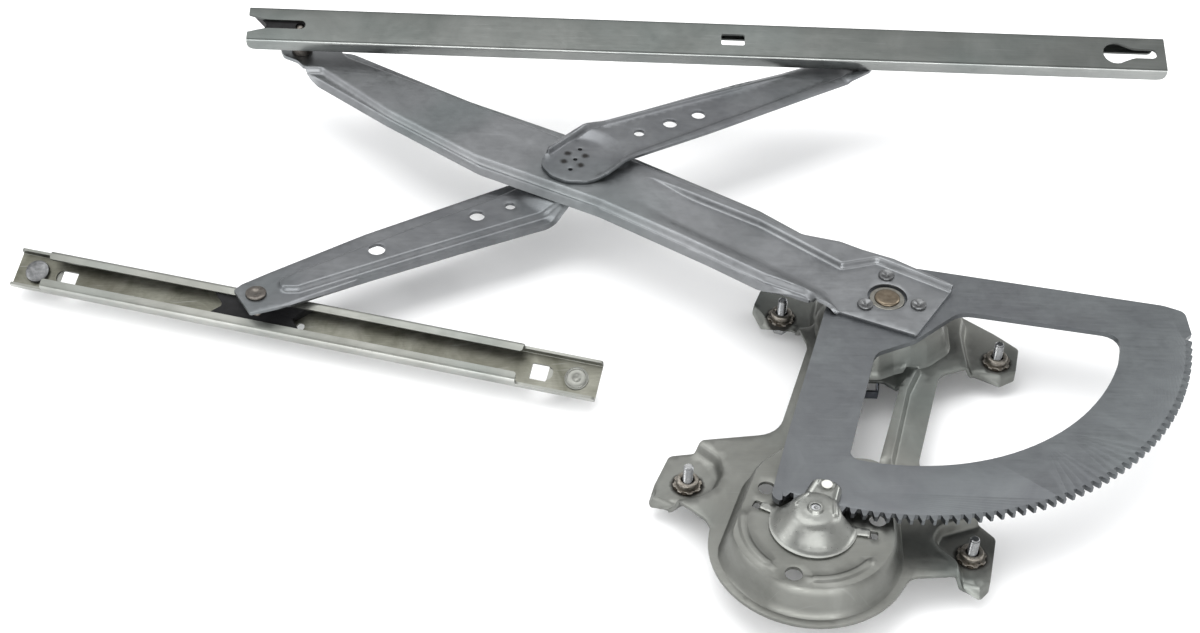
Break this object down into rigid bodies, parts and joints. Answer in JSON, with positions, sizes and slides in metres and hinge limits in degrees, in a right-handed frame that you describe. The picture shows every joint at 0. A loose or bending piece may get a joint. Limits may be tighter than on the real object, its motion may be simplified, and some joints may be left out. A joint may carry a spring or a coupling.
{
  "type": "window regulator",
  "caption": "Cross-arm vehicle window regulator without motor: toothed sector, scissor arms, glass channel, guide channel and drive pinion on a pressed bracket.",
  "frame": {"origin": "on the main pivot's axis, in the plane of the feet that bear on the door's inner panel", "axes": "+Z from the inner panel towards the glass; +X along the glass channel as stored, from the main arm's end towards the keyhole; +Y across the lever, away from the motor dome"},
  "size_m": [0.6558, 0.4263, 0.07],
  "materials": {
    "bracket_zinc": "bright galvanised, softly mottled",
    "cover_zinc": "drawn galvanised, satin",
    "welded_steel": "weld-darkened zinc",
    "bolt_zinc": "bright zinc plate",
    "bronze": "sintered, oiled",
    "white_nylon": "translucent natural nylon",
    "spring_steel": "dark oiled",
    "sector_zinc": "blanked galvanised plate, fine grain",
    "arm_zinc": "pressed galvanised sheet",
    "rivet_steel": "plain zinc",
    "pivot_steel": "yellowed steel",
    "dark_washer": "greased black polymer",
    "black_nylon": "black nylon",
    "sash_zinc": "dull grey zinc",
    "guide_zinc": "worn streaked zinc",
    "pinion_steel": "hardened, dark"
  },
  "bodies": {
    "bracket": {"backplate": "bracket_zinc", "weld_nuts": "welded_steel", "mounting_bolts": "bolt_zinc", "pivot_bush": "bronze", "pinion_cover": "cover_zinc", "guide_button": "white_nylon", "counterbalance_spring": "spring_steel"},
    "main_lever": {"sector_gear": "sector_zinc", "main_arm": "arm_zinc", "sector_rivets": "rivet_steel", "pivot_shaft": "pivot_steel", "shaft_collar": "pivot_steel", "thrust_washer": "dark_washer", "shaft_retaining_ring": "spring_steel", "main_arm_ball_stud": "rivet_steel"},
    "equalizer": {"upper_equalizer_arm": "arm_zinc", "lower_equalizer_arm": "arm_zinc", "equalizer_hub": "rivet_steel", "upper_arm_ball_stud": "rivet_steel", "lower_arm_ball_stud": "rivet_steel"},
    "main_slider": {"main_arm_slider": "black_nylon"},
    "upper_slider": {"upper_arm_slider": "black_nylon"},
    "lower_slider": {"lower_arm_slider": "black_nylon"},
    "glass_rail": {"sash_channel": "sash_zinc"},
    "guide_rail": {"guide_channel": "guide_zinc", "guide_stud_left": "rivet_steel", "guide_stud_right": "guide_zinc"},
    "pinion": {"drive_pinion": "pinion_steel"}
  },
  "joints": [
    {"name": "main_arm_pivot", "type": "hinge", "parent": "bracket", "child": "main_lever", "pos_m": [0, 0, 0.028], "axis": [0, 0, 1], "range_deg": [-97, 3], "deforming": ["counterbalance_spring"]},
    {"name": "equalizer_fold", "type": "hinge", "parent": "main_lever", "child": "equalizer", "pos_m": [-0.16636, 0.10363, 0.033], "axis": [0, 0, 1], "range_deg": [-163.8, 16]},
    {"name": "glass_rail_slide", "type": "slide", "parent": "main_slider", "child": "glass_rail", "axis": [1, 0, 0], "range_m": [-0.095, 0.001]},
    {"name": "guide_rail_slide", "type": "slide", "parent": "lower_slider", "child": "guide_rail", "axis": [0.972, -0.2351, 0], "range_m": [-0.11, 0.008]},
    {"name": "pinion_spin", "type": "hinge", "parent": "bracket", "child": "pinion", "pos_m": [-0.04973, -0.15772, 0.028], "axis": [0, 0, 1], "range_deg": [-61, 1941]},
    {"name": "main_slider_turn", "type": "hinge", "parent": "main_lever", "child": "main_slider", "pos_m": [-0.33272, 0.20726, 0.0498], "axis": [0, 0, 1], "range_deg": [-82, 8.1]},
    {"name": "upper_slider_turn", "type": "hinge", "parent": "equalizer", "child": "upper_slider", "pos_m": [0, 0.20726, 0.0498], "axis": [0, 0, 1], "range_deg": [-8.1, 82]},
    {"name": "lower_slider_turn", "type": "hinge", "parent": "equalizer", "child": "lower_slider", "pos_m": [-0.33272, 0, 0.0062], "axis": [0, 0, 1], "range_deg": [-8.1, 82]}
  ],
  "couplings": [
    {"joint": "pinion_spin", "follows": "main_arm_pivot", "ratio": -20},
    {"joint": "main_slider_turn", "follows": "equalizer_fold", "ratio": 0.5},
    {"joint": "upper_slider_turn", "follows": "equalizer_fold", "ratio": -0.5},
    {"joint": "lower_slider_turn", "follows": "equalizer_fold", "ratio": -0.5}
  ]
}
